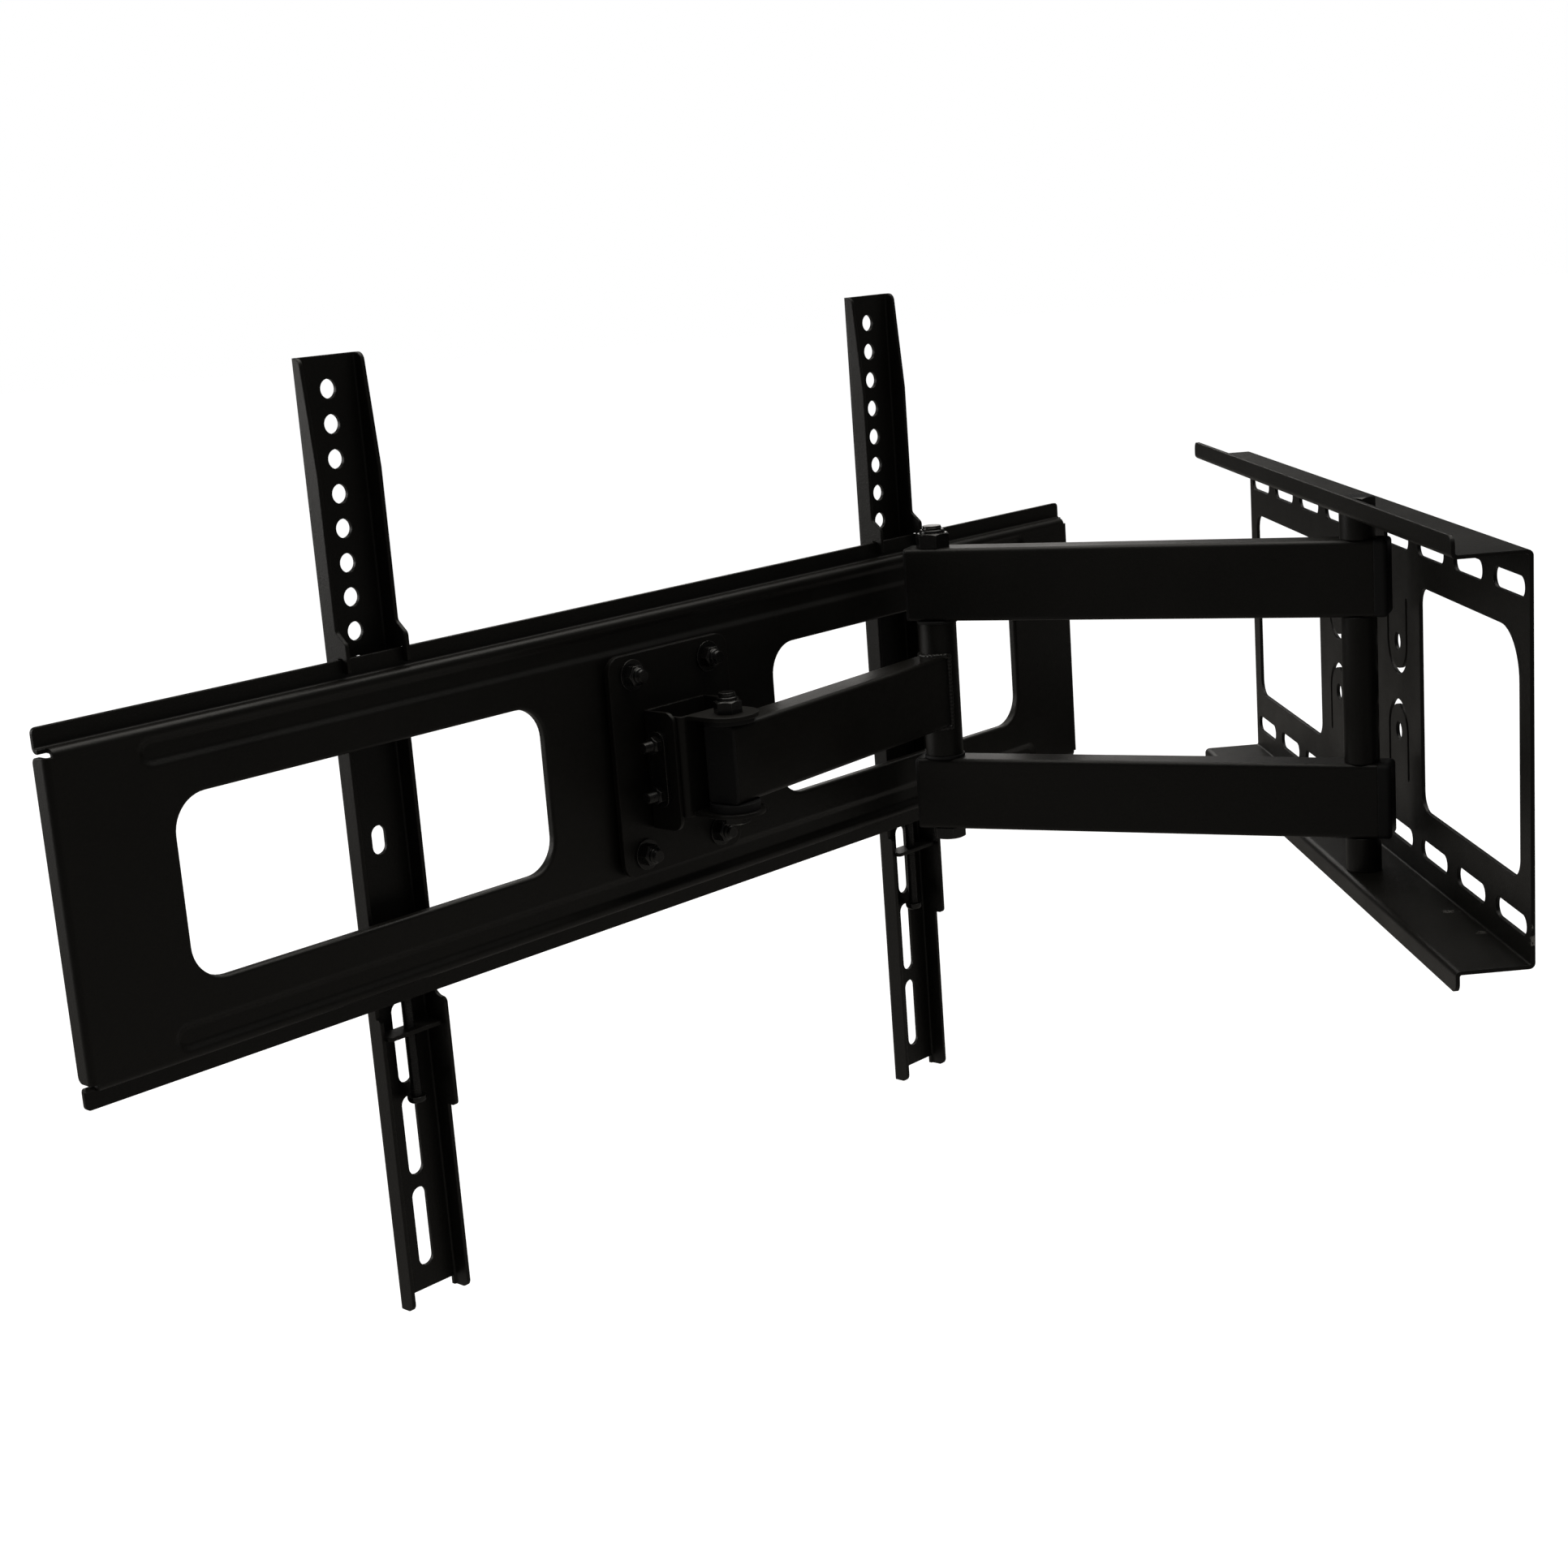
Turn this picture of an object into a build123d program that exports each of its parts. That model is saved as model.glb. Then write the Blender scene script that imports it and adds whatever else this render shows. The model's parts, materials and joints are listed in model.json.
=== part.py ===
from build123d import *
import math
import os

# Full motion TV wall mount, in millimetres, +Z up.
# The origin is the centre of the wall plate's back face. The wall is at +Y and the room at -Y.

# ---- Driving dimensions -------------------------------------------------------------------------

SHEET = 2.0                  # thickness of the pressed steel sheet
BEND = 2.0                   # bend radius, measured at the middle of the sheet
RUN_FIT = 0.05               # radial clearance of a turning or sliding fit
FACE_GAP = 0.1               # clearance between flat faces that turn past each other
M10 = (5.0, 17.0, 6.5, 8.0)  # wall pivot and elbow bolts: radius, flats, head and nut height
M8 = (4.0, 13.0, 5.3, 6.5)   # head pivot bolt
LOCK_COLLAR = 2.0            # nylon collar of a locknut
THREAD_END = 2.0             # a pivot bolt stands this far out of its locknut

# Wall plate
WALL_LENGTH = 510.0
WALL_HEIGHT = 198.0
WALL_DEPTH = 38.0
WALL_LIP = 9.0               # height of the lips beyond the flanges
WALL_SLOT_PITCH = 57.0
WALL_SLOT_COUNT = 9
WALL_SLOT_LENGTH = 42.0
WALL_SLOT_WIDTH = 10.0
WALL_SLOT_Z = 80.5
WALL_WINDOW_INNER = 95.0     # distance of the window's inner edge from the middle
WALL_WINDOW_OUTER = 241.0
WALL_WINDOW_HALF_HEIGHT = 59.5
WALL_WINDOW_R = 10.0
WALL_WINDOW_BIG_R = 24.0     # one upper corner of each window
TONGUE_X = 57.0              # columns of the slit tongues
TONGUE_HOLE_Z = 24.5
TONGUE_HOLE_R = 5.0
TONGUE_R = 16.0
TONGUE_ARM = 24.0            # straight length of each slit arm
TONGUE_SLIT = 3.0

# Pivots and arms
SHAFT_X = 68.5
SHAFT_Y = -26.0
REAR_ARM_LENGTH = 235.0      # wall pivot to elbow
FRONT_ARM_LENGTH = 193.0     # elbow to head pivot
ARM_HEIGHT = 41.0
ARM_WIDTH = 19.0
ARM_WALL = 2.0
ARM_CORNER = 2.5
REAR_ARM_Z = {"upper": 62.8, "lower": -57.5}
FRONT_ARM_Z = 2.0            # middle of the front arm, the head and the TV plate
REAR_ARM_TAIL = 9.5          # the box tubes end this far behind the wall pivot
REAR_ARM_NOSE = 13.5         # and this far beyond the elbow
WALL_CAP = 7.0               # thickness of the caps at the wall end
FRONT_ARM_NOSE = 9.3         # the front arm and its cap end this far beyond the head pivot
FRONT_CAP = 1.5
CAP_ROOM = 0.3               # clearance between a cap's spigot and the bush
PIVOT_SLEEVE_R = 9.45
ELBOW_TUBE_R = 10.65
BUSH_R = 6.6
SLIP_RING = 1.5              # thickness of the plastic rings at the elbow
SLIP_RING_LIP = 0.8          # and how far they stand out round the elbow tube

# Rest pose: directions in the XY plane, in degrees from +X
REAR_ARM_ANGLE = -115.2
FRONT_ARM_ANGLE = -40.55
HEAD_ANGLE = -46.14          # direction of the TV plate's length

# Swivel and tilt head. Its frame has x along the TV plate, and y = 0 at the plate's rear face.
HEAD_DEPTH = 45.3            # the TV plate's rear face to the head pivot
TILT_Y = 17.0                # tilt axis
TILT_Z = 11.2
TILT_SLOT_R = 26.2           # the lower studs are this far below the tilt axis
TILT_DOWN = 6.0              # degrees of tilt towards the floor
TILT_UP = 5.0                # degrees of tilt towards the ceiling
TILT_STUD_R = 2.5            # M5 studs
TILT_TIP_X = 34.7
TILT_NUT_FLATS = 8.0
TILT_NUT_HEIGHT = 4.0
TILT_WIDTH = 44.8            # outside width of the tilt bracket
TILT_EAR_Y = 28.0
TILT_EAR_TOP = 27.6
TILT_EAR_BOTTOM = -34.0
CLAMP_WIDTH = 11.0
CLAMP_HEIGHT = 39.5
CLAMP_THICK = 2.5
SWIVEL_WIDTH = 40.2          # outside width of the swivel bracket
SWIVEL_WEB_Y = 31.3          # face of its web towards the arm
SWIVEL_EDGE_Y = 12.5         # free edges of its side flanges
SWIVEL_TOP = 25.4
SWIVEL_BOTTOM = -26.8
SWIVEL_EAR_R = 15.5
HEAD_WASHER_R = 13.0
ADAPTER_WIDTH = 86.0
ADAPTER_HEIGHT = 115.0
ADAPTER_R = 8.0
ADAPTER_THICK = 3.0
ADAPTER_REAR_Y = 5.5
LEVEL_BOLT_X = 27.5
LEVEL_BOLT_Z = 47.0
LEVEL_BOLT_R = 3.0
LEVEL_HEAD_R = 5.5
LEVEL_HEAD = 3.0
LEVEL_WASHER_R = 8.0         # washers under the nuts
LEVEL_FRONT_WASHER_R = 6.0   # washers under the heads, inside the pressed pad
LEVEL_WASHER = 1.2
LEVEL_NUT_FLATS = 10.0
LEVEL_NUT = 4.5
LEVEL_TIP_Y = 15.0
LEVEL_LIMIT = 3.0            # degrees of level adjustment either way
LEVEL_ROOM = 0.9             # extra width of the level slots

# TV plate, in the head frame: the TV is at -y
TV_LENGTH = 710.0
TV_HEIGHT = 150.0
TV_LIP_Y = -8.0              # middle of the lips
TV_LIP_TOP = 84.0
TV_END_DEPTH = 10.0          # depth of the end flanges
TV_END_HALF_HEIGHT = 71.5
TV_RELIEF = 4.0              # width of the notches at the corners of the web
TV_WINDOW_INNER = 83.4
TV_WINDOW_OUTER = 297.3
TV_WINDOW_HALF_HEIGHT = 42.1
TV_WINDOW_R = 17.0
TV_RIM = 4.5                 # depth of the turned-in rim round each window
TV_RIM_ROUND = 1.6           # rounding of the rim where it leaves the web
TV_END_STRIP = 8.0           # width of the web that belongs to each end flange
TV_BEAD_Z = 64.2
TV_BEAD_LENGTH = 622.0
TV_BEAD_WIDTH = 13.0
TV_BEAD_DEPTH = 1.7
TV_BEAD_TAPER = 60           # degrees from square, side slope of the beads
TV_BEAD_ROUND = 2.5          # rounding of the foot and the floor of the beads
TV_PAD_WIDTH = 80.0          # pad pressed towards the wall behind the adapter plate
TV_PAD_HEIGHT = 113.4
TV_PAD_RISE = 2.4

# Rails that hook on the TV plate's lips
RAIL_PLACES = {"left": 177.0, "right": -201.0}
RAIL_WIDTH = 36.7
RAIL_WEB_Y = -19.7           # middle of the web
RAIL_EDGE_Y = -9.6           # free edges of the flanges
RAIL_TOP = 221.0
RAIL_BOTTOM = -236.0
RAIL_TOE = 4.8               # the flanges reach this far below the web
RAIL_TAPER_Z = 168.0
RAIL_TAPER = 4.3
RAIL_HOLE_R = 4.5
RAIL_HOLE_Z = 77.8
RAIL_HOLE_PITCH = 16.0
RAIL_HOLE_COUNT = 9
RAIL_SLOT_WIDTH = 9.0
RAIL_SLOT_LENGTH = 41.0
RAIL_SLOT_Z = (-108.5, -156.2, -203.9)
RAIL_EYE_Z = -7.0
RAIL_EYE_LENGTH = 14.2
RAIL_EYE_WIDTH = 8.5
HOOK_Y = -3.2                # rear edge of the hook fingers
HOOK_FINGER = 3.4
HOOK_RISE = 6.5
HOOK_ROOM = 0.5              # clearance between a hook and the lip
HOOK_TIP_Z = 77.5
HOOK_HEEL = 12.0             # the flange is deep again this far above the lip
RELIEF_Y = -12.5             # both flanges are shallower where they cross the lower lip
RELIEF_TOP = -70.0
RELIEF_BOTTOM = -91.0
TAB_Y = -3.6                 # rear edge of the deep tab on one flange
TAB_TOP = -88.0
TAB_BOTTOM = -143.5
LOCK_Y = -11.8               # axis of the lock screws
LOCK_BRIDGE_Z = -100.5
LOCK_BRIDGE_EDGE_Y = -6.0
LOCK_SCREW_R = 2.5
LOCK_SCREW_TIP = -84.6
LOCK_SCREW_SEAT = -134.0
LOCK_HEAD_R = 4.8
LOCK_HEAD = 3.8
LOCK_CROSS = (5.2, 1.1, 1.8)  # length, width and depth of the cross recess

# ---- Frames of the moving groups at rest --------------------------------------------------------

rear_frame = Pos(SHAFT_X, SHAFT_Y, 0) * Rot(0, 0, REAR_ARM_ANGLE)
front_frame = rear_frame * Pos(REAR_ARM_LENGTH, 0, 0) * Rot(0, 0, FRONT_ARM_ANGLE - REAR_ARM_ANGLE)
pivot_frame = front_frame * Pos(FRONT_ARM_LENGTH, 0, FRONT_ARM_Z)
head_frame = pivot_frame * Rot(0, 0, HEAD_ANGLE - FRONT_ARM_ANGLE) * Pos(0, -HEAD_DEPTH, 0)

# ---- Shared shapes ------------------------------------------------------------------------------


def rod(radius, low, high, x=0.0, y=0.0):
    """Upright cylinder between two heights."""
    return Pos(x, y, low) * extrude(Circle(radius), high - low)


def ring(outer, inner, low, high, x=0.0, y=0.0):
    """Upright tube or washer between two heights."""
    return Pos(x, y, low) * extrude(Circle(outer) - Circle(inner), high - low)


def box(x, y, z):
    """Box between two limits on each axis."""
    size = [high - low for low, high in (x, y, z)]
    middle = [(low + high) / 2 for low, high in (x, y, z)]
    return Pos(*middle) * Box(*size)


def end_edges(shape, end):
    """Edges of an upright shape's lowest (0) or highest (-1) face."""
    return shape.faces().sort_by(Axis.Z)[end].edges()


def hexagon(flats, height):
    """Hexagon prism that stands on z = 0, with the corners of its top turned off."""
    prism = extrude(RegularPolygon(flats / 2, 6, major_radius=False), height)
    turned = rod(flats / math.sqrt(3), 0, height)
    turned = chamfer(end_edges(turned, -1), 0.8, 1.6)
    return prism & turned


def locknut(radius, flats, height, collar):
    """Locknut that stands on z = 0: a hexagon with a round nylon collar above it."""
    top = height + collar
    cap = rod(flats * 0.42, 0, top)
    cap = fillet(end_edges(cap, -1), collar * 0.6)
    return hexagon(flats, height) + cap - rod(radius, 0, top)


def hex_bolt(size, shank):
    """Bolt that hangs from z = 0, with its head above."""
    radius, flats, head, _ = size
    body = rod(radius, -shank, 0)
    body = chamfer(end_edges(body, 0), radius / 5)
    return body + hexagon(flats, head)


def pivot_nut(size):
    """Locknut of a pivot bolt, which stands on z = 0."""
    radius, flats, _, height = size
    return locknut(radius, flats, height, LOCK_COLLAR)


def bolt_bore(size, x=0.0, y=0.0):
    """Cutter for a pivot bolt's running fit."""
    return rod(size[0] + RUN_FIT, -WALL_HEIGHT, WALL_HEIGHT, x, y)


def turned_over(shape):
    return Rot(180, 0, 0) * shape


def along_y(shape):
    """Lay an upright shape down so that its top points along +y."""
    return Rot(-90, 0, 0) * shape


def along_x(shape, side):
    """Lay an upright shape down so that its top points along +x (side 1) or -x (side -1)."""
    return Rot(0, side * 90, 0) * shape


def folded(points, length, plane):
    """Bent sheet: a line of points in the plane, thickened and drawn out both ways."""
    section = trace(FilletPolyline(*points, radius=BEND), line_width=SHEET)
    return extrude(plane * section, length / 2, both=True)


def cut_through(outline, x=0.0, z=0.0, depth=30.0):
    """Cutter along y with the given outline in x and z."""
    return Pos(x, 0, z) * extrude(Plane.XZ * outline, depth, both=True)


def window_outline(side, inner, outer, half_height, radii):
    """Rounded window between two distances from the middle. The third radius is up at +x."""
    left, right = sorted((side * inner, side * outer))
    corners = [(left, -half_height), (right, -half_height), (right, half_height), (left, half_height)]
    return make_face(FilletPolyline(*corners, radius=radii, close=True))


# ---- Wall plate ---------------------------------------------------------------------------------


def tongue_slit(x, side):
    """U-shaped slit round a screw hole, open away from the middle of the plate."""
    hole_z = side * TONGUE_HOLE_Z
    end_z = hole_z + side * TONGUE_ARM
    left, right = x - TONGUE_R, x + TONGUE_R
    bend = ThreePointArc((left, hole_z), (x, hole_z - side * TONGUE_R), (right, hole_z))
    slit = trace(Line((left, end_z), (left, hole_z)) + bend + Line((right, hole_z), (right, end_z)),
                 line_width=TONGUE_SLIT)
    for end_x in (left, right):
        slit += Pos(end_x, end_z) * Circle(TONGUE_SLIT / 2)
    return cut_through(slit)


def wall_plate():
    half = WALL_HEIGHT / 2
    lip_y = -WALL_DEPTH + SHEET / 2
    flange_z = half - SHEET / 2
    lip_top = half + WALL_LIP
    upper = [(lip_y, lip_top), (lip_y, flange_z), (-SHEET / 2, flange_z)]
    plate = folded(upper + [(y, -z) for y, z in reversed(upper)], WALL_LENGTH, Plane.YZ)
    corners = [edge for edge in plate.edges().filter_by(Axis.Y) if abs(edge.center().Z) > lip_top - 1]
    plate = fillet(corners, 5)
    for row in (-1, 1):
        for index in range(WALL_SLOT_COUNT):
            x = (index - (WALL_SLOT_COUNT - 1) / 2) * WALL_SLOT_PITCH
            plate -= cut_through(SlotOverall(WALL_SLOT_LENGTH, WALL_SLOT_WIDTH), x, row * WALL_SLOT_Z, 5)
    for side in (-1, 1):
        radii = [WALL_WINDOW_R, WALL_WINDOW_R, WALL_WINDOW_BIG_R, WALL_WINDOW_R]
        window = window_outline(side, WALL_WINDOW_INNER, WALL_WINDOW_OUTER, WALL_WINDOW_HALF_HEIGHT, radii)
        plate -= cut_through(window)
        for row in (-1, 1):
            plate -= cut_through(Circle(TONGUE_HOLE_R), side * TONGUE_X, row * TONGUE_HOLE_Z)
            plate -= tongue_slit(side * TONGUE_X, row)
        plate -= bolt_bore(M10, side * SHAFT_X, SHAFT_Y)
    return plate


# ---- Arms, each along +x from its pivot -----------------------------------------------------------


def box_tube(start, end, middle_z):
    outer = RectangleRounded(ARM_WIDTH, ARM_HEIGHT, ARM_CORNER)
    inner = RectangleRounded(ARM_WIDTH - 2 * ARM_WALL, ARM_HEIGHT - 2 * ARM_WALL, ARM_CORNER / 3)
    return Pos(start, 0, middle_z) * extrude(Plane.YZ * (outer - inner), end - start)


def rear_arm(middle_z):
    arm = box_tube(-REAR_ARM_TAIL, REAR_ARM_LENGTH + REAR_ARM_NOSE, middle_z)
    return arm - bolt_bore(M10) - bolt_bore(M10, REAR_ARM_LENGTH)


def front_arm():
    """Box tube whose elbow end is notched to sit round the elbow tube."""
    arm = box_tube(0, FRONT_ARM_LENGTH + FRONT_ARM_NOSE - FRONT_CAP, FRONT_ARM_Z)
    return arm - rod(ELBOW_TUBE_R, -ARM_HEIGHT, ARM_HEIGHT) - bolt_bore(M8, FRONT_ARM_LENGTH)


def bush(size, x, middle_z):
    """Steel sleeve inside a box tube that keeps the bolt from crushing it."""
    half = ARM_HEIGHT / 2 - ARM_WALL
    return ring(BUSH_R, size[0] + RUN_FIT, middle_z - half, middle_z + half, x)


def end_cap(pivot_x, reach, middle_z, turn, thickness):
    """Plastic plug on the tube's end, reach beyond a pivot: a rounded cap and a short hollow spigot."""
    cap = extrude(Plane.YZ * RectangleRounded(ARM_WIDTH, ARM_HEIGHT, ARM_CORNER), thickness)
    cap = fillet(cap.faces().sort_by(Axis.X)[-1].edges(), min(thickness / 2, ARM_CORNER - 0.1))
    inset = 2 * ARM_WALL + 0.1
    outline = RectangleRounded(ARM_WIDTH - inset, ARM_HEIGHT - inset, ARM_CORNER / 3)
    depth = reach - BUSH_R - CAP_ROOM
    spigot = extrude(Plane.YZ * outline, -depth)
    cored = RectangleRounded(ARM_WIDTH - inset - 3, ARM_HEIGHT - inset - 3, ARM_CORNER / 3)
    spigot -= extrude(Plane.YZ * cored, -depth)
    return Pos(pivot_x, 0, middle_z) * Rot(0, 0, turn) * Pos(reach, 0, 0) * (cap + spigot)


# ---- Swivel and tilt head -------------------------------------------------------------------------

RAIL_INSIDE = RAIL_WIDTH / 2 - SHEET
TILT_STUD_Z = (TILT_Z, TILT_Z - TILT_SLOT_R)
LEVEL_PLACES = [(side * LEVEL_BOLT_X, row * LEVEL_BOLT_Z) for side in (-1, 1) for row in (-1, 1)]
CLAMP_OUTER = TILT_WIDTH / 2 + FACE_GAP + CLAMP_THICK


def stud_bore(z, radius=TILT_STUD_R + RUN_FIT):
    """Cutter along x for a tilt stud."""
    return Pos(0, TILT_Y, z) * along_x(rod(radius, -TILT_WIDTH, TILT_WIDTH), 1)


def swivel_bracket():
    """Pressed bracket that clasps the front arm: a web, two side flanges and two round ears."""
    half = (SWIVEL_WIDTH - SHEET) / 2
    web_y = SWIVEL_WEB_Y - SHEET / 2
    points = [(-half, SWIVEL_EDGE_Y), (-half, web_y), (half, web_y), (half, SWIVEL_EDGE_Y)]
    bracket = folded(points, SWIVEL_TOP - SWIVEL_BOTTOM, Plane.XY)
    bracket = Pos(0, 0, (SWIVEL_TOP + SWIVEL_BOTTOM) / 2) * bracket
    corners = [edge for edge in bracket.edges().filter_by(Axis.X) if edge.center().Y < SWIVEL_EDGE_Y + 1]
    bracket = fillet(corners, 7)
    reach = HEAD_DEPTH - web_y
    ear = Circle(SWIVEL_EAR_R) + Pos(0, -reach / 2) * Rectangle(2 * SWIVEL_EAR_R, reach)
    for low in (SWIVEL_TOP - SHEET, SWIVEL_BOTTOM):
        bracket += Pos(0, HEAD_DEPTH, low) * extrude(ear, SHEET)
    for z in TILT_STUD_Z:
        bracket -= stud_bore(z)
    return bracket - bolt_bore(M8, 0, HEAD_DEPTH)


def tilt_slot():
    """Cutter for the arc slots that the lower studs travel in."""
    radius = TILT_STUD_R + 0.3
    places = []
    for turn in (-TILT_DOWN, (TILT_UP - TILT_DOWN) / 2, TILT_UP):
        angle = math.radians(-90 + turn)
        places.append((TILT_Y + TILT_SLOT_R * math.cos(angle), TILT_Z + TILT_SLOT_R * math.sin(angle)))
    slot = trace(ThreePointArc(*places), line_width=2 * radius)
    for place in (places[0], places[-1]):
        slot += Pos(*place) * Circle(radius)
    return extrude(Plane.YZ * slot, TILT_WIDTH, both=True)


def tilt_bracket():
    """U bracket on the adapter plate. Its ears stand outside the swivel bracket."""
    half = (TILT_WIDTH - SHEET) / 2
    base_y = ADAPTER_REAR_Y + SHEET / 2
    points = [(-half, TILT_EAR_Y), (-half, base_y), (half, base_y), (half, TILT_EAR_Y)]
    bracket = folded(points, TILT_EAR_TOP - TILT_EAR_BOTTOM, Plane.XY)
    bracket = Pos(0, 0, (TILT_EAR_TOP + TILT_EAR_BOTTOM) / 2) * bracket
    corners = [edge for edge in bracket.edges().filter_by(Axis.X) if edge.center().Y > TILT_EAR_Y - 1]
    bracket = fillet(corners, 6)
    return bracket - stud_bore(TILT_Z) - tilt_slot()


def clamp_plate(side):
    """Rounded strip under the two nuts of one ear."""
    strip = extrude(Plane.YZ * RectangleRounded(CLAMP_WIDTH, CLAMP_HEIGHT, 5), CLAMP_THICK / 2, both=True)
    strip = Pos(side * (CLAMP_OUTER - CLAMP_THICK / 2), TILT_Y, sum(TILT_STUD_Z) / 2) * strip
    for z in TILT_STUD_Z:
        strip -= stud_bore(z)
    return strip


def tilt_stud(side, z):
    """Bolt through one ear, with its head inside the swivel bracket."""
    seat = SWIVEL_WIDTH / 2 - SHEET
    head = rod(TILT_STUD_R + 2, seat - 3, seat)
    head = fillet(end_edges(head, 0), 1.2)
    shank = rod(TILT_STUD_R, seat, TILT_TIP_X)
    shank = chamfer(end_edges(shank, -1), 0.6)
    return Pos(0, TILT_Y, z) * along_x(head + shank, side)


def tilt_nut(side, z):
    nut = hexagon(TILT_NUT_FLATS, TILT_NUT_HEIGHT) - rod(TILT_STUD_R, 0, TILT_NUT_HEIGHT)
    return Pos(0, TILT_Y, z) * along_x(Pos(0, 0, CLAMP_OUTER) * nut, side)


def adapter_plate():
    plate = extrude(Plane.XZ * RectangleRounded(ADAPTER_WIDTH, ADAPTER_HEIGHT, ADAPTER_R), ADAPTER_THICK)
    plate = Pos(0, ADAPTER_REAR_Y, 0) * plate
    for x, z in LEVEL_PLACES:
        plate -= cut_through(Circle(LEVEL_BOLT_R), x, z)
    return plate


def level_bolt(x, z):
    """Bolt with a low round head on the TV side and its tip towards the wall."""
    seat = TV_PAD_RISE - SHEET - FACE_GAP - LEVEL_WASHER
    head = rod(LEVEL_HEAD_R, seat - LEVEL_HEAD, seat)
    head = fillet(end_edges(head, 0), LEVEL_HEAD * 0.6)
    shank = rod(LEVEL_BOLT_R, seat, LEVEL_TIP_Y)
    shank = chamfer(end_edges(shank, -1), 0.6)
    return Pos(x, 0, z) * along_y(head + shank)


def level_washer(x, z, radius, seat):
    return Pos(x, 0, z) * along_y(ring(radius, LEVEL_BOLT_R, seat, seat + LEVEL_WASHER))


def level_nut(x, z):
    nut = locknut(LEVEL_BOLT_R, LEVEL_NUT_FLATS, LEVEL_NUT, LOCK_COLLAR)
    return Pos(x, ADAPTER_REAR_Y + LEVEL_WASHER, z) * along_y(nut)


# ---- TV plate -------------------------------------------------------------------------------------


def level_slot(x, z):
    """Cutter for the slot that a level bolt moves along, square to its radius."""
    travel = 2 * math.hypot(x, z) * math.radians(LEVEL_LIMIT)
    turn = math.degrees(math.atan2(z, x)) + 90
    return cut_through(SlotCenterToCenter(travel, 2 * LEVEL_BOLT_R + LEVEL_ROOM, rotation=turn), x, z)


def tv_web():
    """The tray's section along its length: web, flanges towards the TV and the hanging lips."""
    flange_z = (TV_HEIGHT - SHEET) / 2
    upper = [(TV_LIP_Y, TV_LIP_TOP), (TV_LIP_Y, flange_z), (-SHEET / 2, flange_z)]
    tray = folded(upper + [(y, -z) for y, z in reversed(upper)], TV_LENGTH, Plane.YZ)
    corners = [edge for edge in tray.edges().filter_by(Axis.Y) if abs(edge.center().Z) > TV_LIP_TOP - 1]
    tray = fillet(corners, 2.5)
    for side in (-1, 1):
        outer = side * TV_LENGTH / 2
        for row in (-1, 1):
            tray -= box(sorted((outer, outer - side * TV_RELIEF)), (-SHEET - 3, 1),
                        sorted((row * TV_END_HALF_HEIGHT, row * (TV_HEIGHT / 2 + 1))))
    return tray


def tv_end(side):
    """End flange, bent from the web towards the TV."""
    outer = side * (TV_LENGTH - SHEET) / 2
    points = [(outer - side * TV_END_STRIP, -SHEET / 2), (outer, -SHEET / 2), (outer, -TV_END_DEPTH)]
    flange = folded(points, 2 * TV_END_HALF_HEIGHT, Plane.XY)
    corners = [edge for edge in flange.edges().filter_by(Axis.X) if edge.center().Y < 1 - TV_END_DEPTH]
    return fillet(corners, 3)


def bead():
    """Long rounded bead that stands on y = 0 and rises towards the TV."""
    ridge = extrude(Plane.XZ * SlotOverall(TV_BEAD_LENGTH, TV_BEAD_WIDTH), TV_BEAD_DEPTH, taper=TV_BEAD_TAPER)
    return fillet(ridge.faces().sort_by(Axis.Y)[0].edges(), TV_BEAD_ROUND)


def on_bead(point):
    """Whether an edge's middle is on a bead's outline, on the plate's front or rear face."""
    from_middle = abs(abs(point.Z) - TV_BEAD_Z)
    on_face = min(abs(point.Y), abs(point.Y + SHEET)) < 0.01
    side = abs(from_middle - TV_BEAD_WIDTH / 2) < 0.01 and abs(point.X) < TV_BEAD_LENGTH / 2
    end = abs(point.X) > (TV_BEAD_LENGTH - TV_BEAD_WIDTH) / 2 and from_middle < TV_BEAD_WIDTH / 2 + 0.01
    return on_face and (side or end) and abs(point.X) < TV_BEAD_LENGTH / 2 + 0.01


def window_edges(plate):
    """Edges of the windows on the plate's rear face."""
    inner, outer = TV_WINDOW_INNER - 1, TV_WINDOW_OUTER + 1
    rear = [edge for edge in plate.edges() if abs(edge.center().Y) < 0.01]
    return [edge for edge in rear
            if inner < abs(edge.center().X) < outer and abs(edge.center().Z) < TV_WINDOW_HALF_HEIGHT + 1]


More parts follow.
